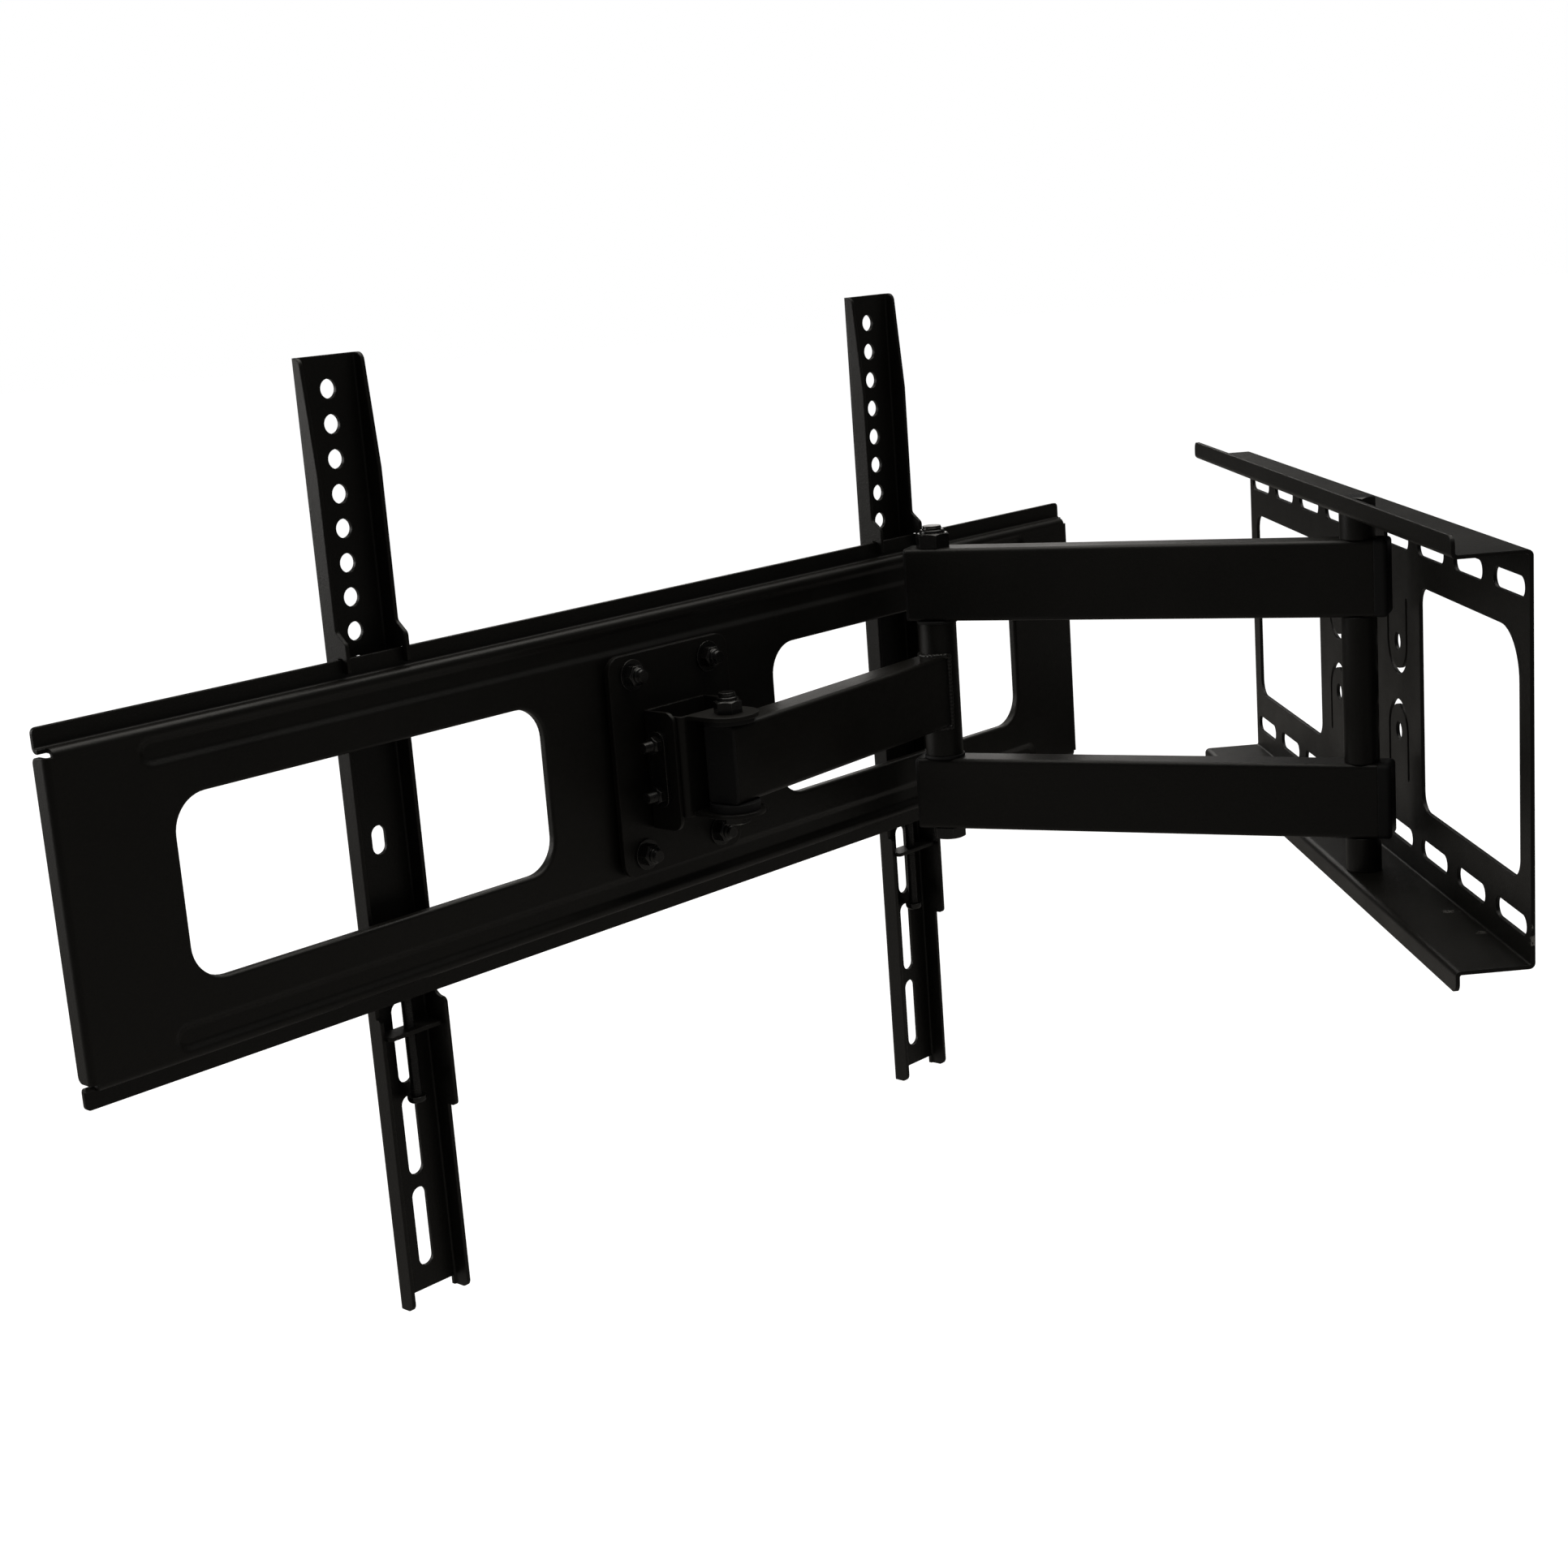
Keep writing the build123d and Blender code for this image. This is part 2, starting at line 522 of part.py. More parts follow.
def tv_plate():
    plate = tv_web()
    for side in (-1, 1):
        strip = sorted((side * (TV_LENGTH / 2 - TV_END_STRIP), side * (TV_LENGTH / 2 + 1)))
        plate -= box(strip, (-SHEET - 0.1, 1), (-TV_END_HALF_HEIGHT, TV_END_HALF_HEIGHT))
        plate += tv_end(side)
        corners = [TV_WINDOW_R + SHEET] * 4
        rim = window_outline(side, TV_WINDOW_INNER - SHEET, TV_WINDOW_OUTER + SHEET,
                             TV_WINDOW_HALF_HEIGHT + SHEET, corners)
        plate += extrude(Plane.XZ * rim, TV_RIM)
        opening = cut_through(window_outline(side, TV_WINDOW_INNER, TV_WINDOW_OUTER,
                                             TV_WINDOW_HALF_HEIGHT, [TV_WINDOW_R] * 4))
        plate -= opening
    plate = fillet(window_edges(plate), TV_RIM_ROUND)
    for row in (-1, 1):
        plate += Pos(0, -SHEET, row * TV_BEAD_Z) * bead()
        plate -= Pos(0, 0, row * TV_BEAD_Z) * bead()
    feet = [edge for edge in plate.edges() if on_bead(edge.center())]
    plate = fillet(feet, TV_BEAD_ROUND)
    pad = RectangleRounded(TV_PAD_WIDTH, TV_PAD_HEIGHT, ADAPTER_R)
    plate += extrude(Plane.XZ * pad, -TV_PAD_RISE)
    pocket = RectangleRounded(TV_PAD_WIDTH - 2 * SHEET, TV_PAD_HEIGHT - 2 * SHEET, ADAPTER_R - SHEET)
    plate -= Pos(0, TV_PAD_RISE - SHEET, 0) * extrude(Plane.XZ * pocket, 2 * SHEET)
    for x, z in LEVEL_PLACES:
        plate -= level_slot(x, z)
    return plate


# ---- Rails, each in the head frame with x from its own middle ---------------------------------------


def flange_outline(tabbed):
    """Side view of one flange in y and z. Both have the hook, and one has the deep tab."""
    low = RAIL_BOTTOM - RAIL_TOE
    front = RAIL_WEB_Y - SHEET
    corners = [(front, low, 0), (RAIL_EDGE_Y, low, 4)]
    if tabbed:
        corners += [(RAIL_EDGE_Y, TAB_BOTTOM, 0), (TAB_Y, TAB_BOTTOM, 2.5), (TAB_Y, TAB_TOP, 2.5)]
        corners += [(RELIEF_Y, TAB_TOP, 7)]
    else:
        corners += [(RAIL_EDGE_Y, RELIEF_BOTTOM, 1.5), (RELIEF_Y, RELIEF_BOTTOM, 1)]
    corners += [(RELIEF_Y, RELIEF_TOP, 1), (RAIL_EDGE_Y, RELIEF_TOP, 1.5)]
    lip_room = TV_LIP_TOP + HOOK_ROOM
    finger = HOOK_Y - HOOK_FINGER
    corners += [(RAIL_EDGE_Y, lip_room, 0), (finger, lip_room, 0), (finger, HOOK_TIP_Z, 1)]
    corners += [(HOOK_Y, HOOK_TIP_Z, 1), (HOOK_Y, lip_room + HOOK_RISE, 3)]
    corners += [(RAIL_EDGE_Y, lip_room + HOOK_HEEL, 3)]
    corners += [(RAIL_EDGE_Y, RAIL_TAPER_Z, 0), (RAIL_EDGE_Y - RAIL_TAPER, RAIL_TOP, 4), (front, RAIL_TOP, 0)]
    points = [corner[:2] for corner in corners]
    return make_face(FilletPolyline(*points, radius=[corner[2] for corner in corners], close=True))


def rail():
    half = (RAIL_WIDTH - SHEET) / 2
    low = RAIL_BOTTOM - RAIL_TOE
    points = [(-half, HOOK_Y + 1), (-half, RAIL_WEB_Y), (half, RAIL_WEB_Y), (half, HOOK_Y + 1)]
    channel = Pos(0, 0, (RAIL_TOP + low) / 2) * folded(points, RAIL_TOP - low, Plane.XY)
    kept = Pos(-RAIL_WIDTH / 2, 0, 0) * extrude(Plane.YZ * flange_outline(True), RAIL_WIDTH / 2)
    kept += extrude(Plane.YZ * flange_outline(False), RAIL_WIDTH / 2)
    channel = channel & kept
    channel -= box((-RAIL_INSIDE + 1, RAIL_INSIDE - 1), (RAIL_WEB_Y - SHEET, 0), (low - 1, RAIL_BOTTOM))
    for index in range(RAIL_HOLE_COUNT):
        channel -= cut_through(Circle(RAIL_HOLE_R), 0, RAIL_HOLE_Z + index * RAIL_HOLE_PITCH)
    slot = SlotOverall(RAIL_SLOT_LENGTH, RAIL_SLOT_WIDTH, rotation=90)
    for z in RAIL_SLOT_Z:
        channel -= cut_through(slot, 0, z)
    return channel - cut_through(SlotOverall(RAIL_EYE_LENGTH, RAIL_EYE_WIDTH, rotation=90), 0, RAIL_EYE_Z)


def lock_bridge():
    """Strap across the rail's channel, tapped for the lock screw."""
    width = RAIL_INSIDE - FACE_GAP / 2
    rear = LOCK_BRIDGE_EDGE_Y
    front = RAIL_WEB_Y + SHEET / 2 + BEND
    strap = box((-width, width), (front, rear), (LOCK_BRIDGE_Z - 1, LOCK_BRIDGE_Z + 1))
    strap = fillet([edge for edge in strap.edges().filter_by(Axis.Z) if edge.center().Y > rear - 1], 2)
    return strap - rod(LOCK_SCREW_R + RUN_FIT, LOCK_BRIDGE_Z - 5, LOCK_BRIDGE_Z + 5, 0, LOCK_Y)


def lock_screw():
    """Long screw with a low round head. Its tip stands just under the TV plate's lower lip."""
    shank = rod(LOCK_SCREW_R, LOCK_SCREW_SEAT, LOCK_SCREW_TIP)
    shank = chamfer(end_edges(shank, -1), 0.6)
    head = rod(LOCK_HEAD_R, LOCK_SCREW_SEAT - LOCK_HEAD, LOCK_SCREW_SEAT)
    head = fillet(end_edges(head, 0), LOCK_HEAD * 0.7)
    length, width, depth = LOCK_CROSS
    recess = Pos(0, 0, LOCK_SCREW_SEAT - LOCK_HEAD) * Box(length, width, 2 * depth)
    cross = recess + Rot(0, 0, 90) * recess
    return Pos(0, LOCK_Y, 0) * (shank + head - cross)


# ---- Nodes ------------------------------------------------------------------------------------------


def wall_nodes():
    flange = WALL_HEIGHT / 2
    inside = flange - SHEET
    arm_top = REAR_ARM_Z["upper"] + ARM_HEIGHT / 2
    arm_bottom = REAR_ARM_Z["lower"] - ARM_HEIGHT / 2
    place = Pos(SHAFT_X, SHAFT_Y, 0)
    radius, _, _, nut_height = M10
    spacers = [ring(PIVOT_SLEEVE_R, radius, arm_top + FACE_GAP, inside),
               ring(PIVOT_SLEEVE_R, radius, -inside, arm_bottom - FACE_GAP)]
    bolt = hex_bolt(M10, WALL_HEIGHT + nut_height + LOCK_COLLAR + THREAD_END)
    return {
        "wall_plate": [wall_plate()],
        "wall_pivot_bolt": [place * Pos(0, 0, flange) * bolt],
        "wall_pivot_nut": [place * Pos(0, 0, -flange) * turned_over(pivot_nut(M10))],
        "wall_pivot_spacers": [place * spacer for spacer in spacers],
    }


def rear_arm_nodes():
    upper, lower = REAR_ARM_Z["upper"], REAR_ARM_Z["lower"]
    high, low = upper - ARM_HEIGHT / 2, lower + ARM_HEIGHT / 2
    elbow = Pos(REAR_ARM_LENGTH, 0, 0)
    nose = REAR_ARM_NOSE
    top, bottom = upper + ARM_HEIGHT / 2, lower - ARM_HEIGHT / 2
    radius, _, _, nut_height = M10
    bolt = turned_over(hex_bolt(M10, top - bottom + nut_height + LOCK_COLLAR + THREAD_END))
    nodes = {
        "rear_arm_upper": [rear_arm(upper)],
        "rear_arm_lower": [rear_arm(lower)],
        "rear_arm_bushes": [bush(M10, x, z) for x in (0, REAR_ARM_LENGTH) for z in (upper, lower)],
        "rear_arm_wall_caps": [end_cap(0, REAR_ARM_TAIL, z, 180, WALL_CAP) for z in (upper, lower)],
        "rear_arm_elbow_caps": [end_cap(REAR_ARM_LENGTH, nose, z, 0, FRONT_CAP) for z in (upper, lower)],
        "rear_pivot_sleeve": [ring(PIVOT_SLEEVE_R, radius + RUN_FIT, low, high)],
        "elbow_bolt": [elbow * Pos(0, 0, bottom) * bolt],
        "elbow_nut": [elbow * Pos(0, 0, top) * pivot_nut(M10)],
    }
    return {name: [rear_frame * solid for solid in solids] for name, solids in nodes.items()}


def front_arm_nodes():
    low = REAR_ARM_Z["lower"] + ARM_HEIGHT / 2 + FACE_GAP
    high = REAR_ARM_Z["upper"] - ARM_HEIGHT / 2 - FACE_GAP
    inner, outer = M10[0] + RUN_FIT, ELBOW_TUBE_R + SLIP_RING_LIP
    rings = [ring(outer, inner, low, low + SLIP_RING), ring(outer, inner, high - SLIP_RING, high)]
    nodes = {
        "elbow_tube": [ring(ELBOW_TUBE_R, inner, low + SLIP_RING, high - SLIP_RING)],
        "elbow_slip_rings": rings,
        "front_arm": [front_arm()],
        "front_arm_bush": [bush(M8, FRONT_ARM_LENGTH, FRONT_ARM_Z)],
        "front_arm_cap": [end_cap(FRONT_ARM_LENGTH, FRONT_ARM_NOSE - FRONT_CAP, FRONT_ARM_Z, 0, FRONT_CAP)],
    }
    return {name: [front_frame * solid for solid in solids] for name, solids in nodes.items()}


def head_nodes():
    pivot = Pos(0, HEAD_DEPTH, 0)
    arm = ARM_HEIGHT / 2 + FACE_GAP
    radius, _, _, nut_height = M8
    bolt = turned_over(hex_bolt(M8, SWIVEL_TOP - SWIVEL_BOTTOM + nut_height + LOCK_COLLAR + THREAD_END))
    washers = [ring(HEAD_WASHER_R, radius + RUN_FIT, arm, SWIVEL_TOP - SHEET),
               ring(HEAD_WASHER_R, radius + RUN_FIT, SWIVEL_BOTTOM + SHEET, -arm)]
    corners = [(side, z) for side in (-1, 1) for z in TILT_STUD_Z]
    front_seat = TV_PAD_RISE - SHEET - FACE_GAP - LEVEL_WASHER
    seats = ((LEVEL_WASHER_R, ADAPTER_REAR_Y), (LEVEL_FRONT_WASHER_R, front_seat))
    nodes = {
        "swivel_bracket": [swivel_bracket()],
        "head_bolt": [pivot * Pos(0, 0, SWIVEL_BOTTOM) * bolt],
        "head_nut": [pivot * Pos(0, 0, SWIVEL_TOP) * pivot_nut(M8)],
        "head_slip_washers": [pivot * washer for washer in washers],
        "tilt_studs": [tilt_stud(side, z) for side, z in corners],
        "tilt_nuts": [tilt_nut(side, z) for side, z in corners],
        "tilt_clamp_plates": [clamp_plate(side) for side in (-1, 1)],
        "tilt_bracket": [tilt_bracket()],
        "adapter_plate": [adapter_plate()],
        "level_bolts": [level_bolt(x, z) for x, z in LEVEL_PLACES],
        "level_washers": [level_washer(x, z, *seat) for x, z in LEVEL_PLACES for seat in seats],
        "level_nuts": [level_nut(x, z) for x, z in LEVEL_PLACES],
        "tv_plate": [tv_plate()],
    }
    for name, middle in RAIL_PLACES.items():
        place = Pos(middle, 0, 0)
        nodes["rail_" + name] = [place * rail()]
        nodes["lock_bridge_" + name] = [place * lock_bridge()]
        nodes["lock_screw_" + name] = [place * lock_screw()]
    return {name: [head_frame * solid for solid in solids] for name, solids in nodes.items()}


def write_parts():
    os.makedirs("parts", exist_ok=True)
    for group in (wall_nodes(), rear_arm_nodes(), front_arm_nodes(), head_nodes()):
        for name, solids in group.items():
            shape = solids[0] if len(solids) == 1 else Compound(children=solids)
            export_step(shape, f"parts/{name}.step")


write_parts()
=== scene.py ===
import json
import math

import bmesh
import bpy
from mathutils import Matrix, Vector


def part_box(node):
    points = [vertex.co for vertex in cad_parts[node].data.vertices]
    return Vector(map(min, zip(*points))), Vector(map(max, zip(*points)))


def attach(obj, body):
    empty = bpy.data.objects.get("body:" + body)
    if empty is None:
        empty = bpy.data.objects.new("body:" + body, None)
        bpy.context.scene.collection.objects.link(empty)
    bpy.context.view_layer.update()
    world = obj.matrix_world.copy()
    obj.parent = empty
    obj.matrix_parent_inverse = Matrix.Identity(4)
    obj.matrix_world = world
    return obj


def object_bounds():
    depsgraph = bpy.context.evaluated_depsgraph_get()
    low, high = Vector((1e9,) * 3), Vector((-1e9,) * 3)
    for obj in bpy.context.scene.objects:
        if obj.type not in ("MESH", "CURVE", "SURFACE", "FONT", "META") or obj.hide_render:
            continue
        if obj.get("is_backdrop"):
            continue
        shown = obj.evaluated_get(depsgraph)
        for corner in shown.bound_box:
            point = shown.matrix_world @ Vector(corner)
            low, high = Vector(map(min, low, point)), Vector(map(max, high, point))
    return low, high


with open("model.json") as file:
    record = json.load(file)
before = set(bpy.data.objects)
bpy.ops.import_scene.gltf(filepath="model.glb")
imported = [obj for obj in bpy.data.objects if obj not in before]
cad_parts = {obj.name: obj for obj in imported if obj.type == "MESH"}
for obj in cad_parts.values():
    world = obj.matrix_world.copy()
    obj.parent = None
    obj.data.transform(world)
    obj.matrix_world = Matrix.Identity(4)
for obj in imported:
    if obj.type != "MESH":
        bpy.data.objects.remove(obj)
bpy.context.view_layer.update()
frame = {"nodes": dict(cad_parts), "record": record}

MM = 0.001
NODES = frame["nodes"]
JOINTS = {joint["name"]: joint for joint in frame["record"]["behaviour"]["joints"]}

# ---- Camera: the photograph's viewing angle -----------------------------------------------------

CAMERA_AT = Vector((1.327838, -0.393600, 0.265978))
CAMERA_AZIMUTH = 87.405
CAMERA_ELEVATION = 12.899
CAMERA_ROLL = -4.273
CAMERA_LENS = 56.05
SENSOR_WIDTH = 36.0
VIEW_DEPTH = 60.0            # how far the camera sees, in metres

# ---- Studio -------------------------------------------------------------------------------------

WORLD_DIM = 0.058            # brightness of the world in reflections; the camera sees it white
FLOOR_DROP = 0.16            # the floor lies this far below the lowest point
FLOOR_EDGE = 14.0            # half of its width
FLOOR_COLOUR = (0.40, 0.39, 0.375, 1)
FLOOR_ROUGHNESS = 0.9
FLOOR_SPECULAR = 0.1
WHITE = (1.0, 1.0, 1.0, 1)
LIGHTS = (                   # name, place, aim, width and height, watts, colour
    ("overhead", (-0.3, -0.1, 2.0), (0.0, -0.2, 0.0), (2.4, 2.4), 30.0, (1.0, 0.97, 0.91)),
    ("behind", (-2.6, -0.15, 0.8), (0.0, -0.3, 0.0), (1.2, 1.0), 4.5, (1.0, 0.97, 0.93)),
    ("beside", (-0.55, -3.2, 0.75), (0.1, -0.3, 0.1), (1.3, 1.7), 22.0, (1.0, 0.98, 0.95)),
)

# ---- Materials ----------------------------------------------------------------------------------

# Colours are linear, lengths are in metres, and noise scales are in features per metre
COAT_DARK = (0.0060, 0.0054, 0.0042, 1)
COAT_LIGHT = (0.0105, 0.0096, 0.0077, 1)
COAT_SPECK = (0.017, 0.0162, 0.0142, 1)
# lighter coat on the edges: partly rubbed wear, partly a painted edge highlight
COAT_RUBBED_AND_SHEEN = (0.050, 0.049, 0.045, 1)
COAT_SPECULAR = 0.38
CHIPPED_STEEL = (0.42, 0.41, 0.39, 1)
CHIP_CORE = 0.2              # share of a chipped spot's radius where it is at full strength
CHIP_PULL = 0.34             # how far a chipped spot raises the flake noise
CHIP_EDGE = (0.83, 0.87)     # the raised noise breaks through the coat here
CHIP_REACH = (0.02, 0.15)    # and only where the spot is at least this strong
ZINC_DARK = (0.0075, 0.0072, 0.0070, 1)
ZINC_LIGHT = (0.0160, 0.0155, 0.0148, 1)
# paler metal on corners: partly wear, partly a painted rim highlight and glint
ZINC_WORN_AND_GLINT = (0.16, 0.155, 0.145, 1)
ZINC_SPECULAR = 0.75
ZINC_METALLIC = 0.3
NYLON_DARK = (0.0085, 0.0085, 0.0088, 1)
NYLON_LIGHT = (0.0130, 0.0130, 0.0134, 1)
# painted edge highlight on the nylon's edges
NYLON_EDGE_SHEEN = (0.030, 0.030, 0.031, 1)
NYLON_SPECULAR = 0.4
STEEL_DARK = (0.33, 0.33, 0.335, 1)
STEEL_LIGHT = (0.50, 0.495, 0.49, 1)
STEEL_STAIN = (0.22, 0.20, 0.18, 1)
WELD_DARK = (0.012, 0.0115, 0.010, 1)
WELD_LIGHT = (0.030, 0.029, 0.026, 1)

SOCKETS = {
    "base": "Base Color",
    "rough": "Roughness",
    "metallic": "Metallic",
    "specular": "Specular IOR Level",
    "normal": "Normal",
}
NOISE_SPAN = (0.3, 0.7)      # where most values of a noise lie
EDGE_SPAN = (0.02, 0.25)     # how far a bent normal is from the true one on an edge
BEVEL_SAMPLES = 4
MIX_FACTOR, MIX_A, MIX_B, MIX_RESULT = 0, 6, 7, 2   # colour sockets of the Mix node


class Nodes:
    """Small helper that adds and links the nodes of one material."""

    def __init__(self, name):
        self.material = bpy.data.materials.new(name)
        self.material.use_nodes = True
        self.tree = self.material.node_tree
        self.tree.nodes.clear()
        self.shader = self.add("ShaderNodeBsdfPrincipled")
        output = self.add("ShaderNodeOutputMaterial")
        self.link(self.shader.outputs[0], output.inputs["Surface"])
        self.place = self.add("ShaderNodeTexCoord").outputs["Object"]   # the object's own coordinates

    def add(self, kind, **settings):
        node = self.tree.nodes.new(kind)
        for key, value in settings.items():
            setattr(node, key, value)
        return node

    def link(self, source, target):
        self.tree.links.new(source, target)

    def put(self, target, value):
        if isinstance(value, (int, float, tuple)):
            target.default_value = value
        else:
            self.link(value, target)

    def noise(self, scale, detail=2.0, roughness=0.5, stretch=None):
        vector = self.place
        if stretch:
            mapping = self.add("ShaderNodeMapping")
            mapping.inputs["Scale"].default_value = stretch
            self.link(vector, mapping.inputs["Vector"])
            vector = mapping.outputs[0]
        node = self.add("ShaderNodeTexNoise")
        self.link(vector, node.inputs["Vector"])
        node.inputs["Scale"].default_value = scale
        node.inputs["Detail"].default_value = detail
        node.inputs["Roughness"].default_value = roughness
        return node.outputs["Fac"]

    def cells(self, scale):
        node = self.add("ShaderNodeTexVoronoi", feature="F1")
        self.link(self.place, node.inputs["Vector"])
        node.inputs["Scale"].default_value = scale
        return node.outputs["Distance"]

    def math(self, operation, a, b, clamp=False):
        node = self.add("ShaderNodeMath", operation=operation, use_clamp=clamp)
        for socket, value in zip(node.inputs, (a, b)):
            self.put(socket, value)
        return node.outputs[0]

    def spread(self, value, span, low=0.0, high=1.0):
        """Maps a value from a span to the range from low to high, and stays inside it."""
        node = self.add("ShaderNodeMapRange")
        for socket, item in zip(node.inputs, (value, *span, low, high)):
            self.put(socket, item)
        return node.outputs[0]

    def mix(self, factor, a, b):
        node = self.add("ShaderNodeMix", data_type="RGBA")
        self.put(node.inputs[MIX_FACTOR], factor)
        self.put(node.inputs[MIX_A], a)
        self.put(node.inputs[MIX_B], b)
        return node.outputs[MIX_RESULT]

    def edges(self, radius):
        """1 on convex and concave edges of the mesh, 0 on flat faces, and the rounded normal."""
        bevel = self.add("ShaderNodeBevel", samples=BEVEL_SAMPLES)
        bevel.inputs["Radius"].default_value = radius
        true = self.add("ShaderNodeNewGeometry").outputs["Normal"]
        dot = self.add("ShaderNodeVectorMath", operation="DOT_PRODUCT")
        self.link(bevel.outputs[0], dot.inputs[0])
        self.link(true, dot.inputs[1])
        away = self.math("SUBTRACT", 1.0, dot.outputs["Value"])
        return self.spread(away, EDGE_SPAN), bevel.outputs[0]

    def bump(self, height, strength, distance, normal=None):
        node = self.add("ShaderNodeBump")
        node.inputs["Strength"].default_value = strength
        node.inputs["Distance"].default_value = distance
        self.link(height, node.inputs["Height"])
        if normal is not None:
            self.link(normal, node.inputs["Normal"])
        return node.outputs[0]

    def surface(self, **values):
        """Sets or links the shader's sockets, and gives the finished material."""
        for name, value in values.items():
            self.put(self.shader.inputs[SOCKETS[name]], value)
        return self.material


def spots(n, places):
    """1 near any of the places in the object's coordinates, each with its own radius."""
    total = None
    for *point, radius in places:
        distance = n.add("ShaderNodeVectorMath", operation="DISTANCE")
        n.link(n.place, distance.inputs[0])
        distance.inputs[1].default_value = point
        near = n.spread(distance.outputs["Value"], (CHIP_CORE * radius, radius), 1.0, 0.0)
        total = near if total is None else n.math("MAXIMUM", total, near)
    return total


def powder_coat(name, chips=()):
    """Fine textured black powder coat on steel sheet, rubbed smooth along its edges, and lighter there:
    partly rubbed wear, partly a painted edge highlight.
    """
    n = Nodes(name)
    edge, rounded = n.edges(radius=0.0009)
    clouds = n.noise(scale=22.0, detail=3.0, roughness=0.55)
    grain = n.noise(scale=2600.0, detail=2.0, roughness=0.6)
    pimples = n.noise(scale=900.0, detail=3.0, roughness=0.55)
    rub_and_sheen_noise = n.noise(scale=160.0, detail=4.0, roughness=0.7)
    rub_and_sheen = n.math("MULTIPLY", edge, n.spread(rub_and_sheen_noise, (0.42, 0.62)), clamp=True)
    base = n.mix(clouds, COAT_DARK, COAT_LIGHT)
    base = n.mix(n.spread(grain, (0.55, 0.75), high=0.5), base, COAT_SPECK)
    # Lighter coat along the edges: partly rubbed wear, partly a painted edge highlight
    base = n.mix(n.math("MULTIPLY", rub_and_sheen, 0.7), base, COAT_RUBBED_AND_SHEEN)
    rough = n.spread(clouds, NOISE_SPAN, 0.36, 0.46)
    rough = n.math("ADD", rough, n.spread(grain, NOISE_SPAN, -0.05, 0.07))
    rough = n.math("SUBTRACT", rough, n.math("MULTIPLY", rub_and_sheen, 0.10))
    metallic = 0.0
    if chips:
        near = spots(n, chips)
        flake_noise = n.noise(scale=520.0, detail=4.0, roughness=0.7)
        raised = n.math("ADD", flake_noise, n.math("MULTIPLY", near, CHIP_PULL))
        flake = n.spread(raised, CHIP_EDGE)
        metallic = n.math("MULTIPLY", flake, n.spread(near, CHIP_REACH), clamp=True)
        base = n.mix(metallic, base, CHIPPED_STEEL)
    height = n.math("ADD", n.math("MULTIPLY", pimples, 0.7), n.math("MULTIPLY", grain, 0.3))
    normal = n.bump(height, strength=0.55, distance=0.00022, normal=rounded)
    return n.surface(base=base, rough=rough, metallic=metallic, specular=COAT_SPECULAR, normal=normal)


def black_zinc(name):
    """Bright black zinc plating with fine turning marks, paler on its corners: partly worn metal, partly a
    painted rim highlight.
    """
    n = Nodes(name)
    edge, rounded = n.edges(radius=0.0005)
    clouds = n.noise(scale=180.0)
    marks = n.noise(scale=1500.0, stretch=(0.25, 0.25, 1.6))
    worn_and_glint = n.math("MULTIPLY", edge, n.spread(clouds, (0.35, 0.6), 0.35, 1.0))
    # Paler metal on the corners: partly wear, partly a painted rim highlight and glint
    base = n.mix(worn_and_glint, n.mix(clouds, ZINC_DARK, ZINC_LIGHT), ZINC_WORN_AND_GLINT)
    rough = n.spread(clouds, NOISE_SPAN, 0.16, 0.26)
    rough = n.math("ADD", rough, n.spread(marks, NOISE_SPAN, -0.03, 0.04))
    normal = n.bump(marks, strength=0.12, distance=0.00003, normal=rounded)
    return n.surface(base=base, rough=rough, metallic=ZINC_METALLIC, specular=ZINC_SPECULAR, normal=normal)


def moulded_plastic(name):
    """Matt moulded nylon with a spark-eroded grain, lighter along its edges as a painted edge highlight."""
    n = Nodes(name)
    edge, rounded = n.edges(radius=0.0008)
    clouds = n.noise(scale=70.0, detail=3.0)
    grain = n.cells(scale=2400.0)
    base = n.mix(clouds, NYLON_DARK, NYLON_LIGHT)
    # Lighter colour along the edges: a painted edge highlight
    base = n.mix(n.math("MULTIPLY", edge, 0.6), base, NYLON_EDGE_SHEEN)
    rough = n.spread(clouds, NOISE_SPAN, 0.52, 0.62)
    rough = n.math("ADD", rough, n.spread(grain, (0.0, 0.7), -0.03, 0.05))
    normal = n.bump(grain, strength=0.4, distance=0.0001, normal=rounded)
    return n.surface(base=base, rough=rough, specular=NYLON_SPECULAR, normal=normal)


def drawn_steel(name):
    """Plain drawn steel tube with lengthwise scratches."""
    n = Nodes(name)
    rounded = n.edges(radius=0.0005)[1]
    scratches = n.noise(scale=900.0, detail=3.0, roughness=0.6, stretch=(1.0, 1.0, 0.04))
    stain = n.noise(scale=120.0, detail=3.0, roughness=0.6)
    base = n.mix(scratches, STEEL_DARK, STEEL_LIGHT)
    base = n.mix(n.spread(stain, (0.5, 0.75), high=0.5), base, STEEL_STAIN)
    rough = n.spread(scratches, NOISE_SPAN, 0.26, 0.42)
    normal = n.bump(scratches, strength=0.3, distance=0.00005, normal=rounded)
    return n.surface(base=base, rough=rough, metallic=1.0, normal=normal)


def weld_metal(name):
    """Weld seam under the coat: smoother and glossier than the sheet."""
    n = Nodes(name)
    ripples = n.noise(scale=420.0, detail=3.0, roughness=0.6)
    fine = n.noise(scale=2200.0)
    base = n.mix(ripples, WELD_DARK, WELD_LIGHT)
    rough = n.spread(ripples, NOISE_SPAN, 0.26, 0.40)
    height = n.math("ADD", ripples, n.math("MULTIPLY", fine, 0.3))
    return n.surface(base=base, rough=rough, normal=n.bump(height, strength=0.6, distance=0.0003))


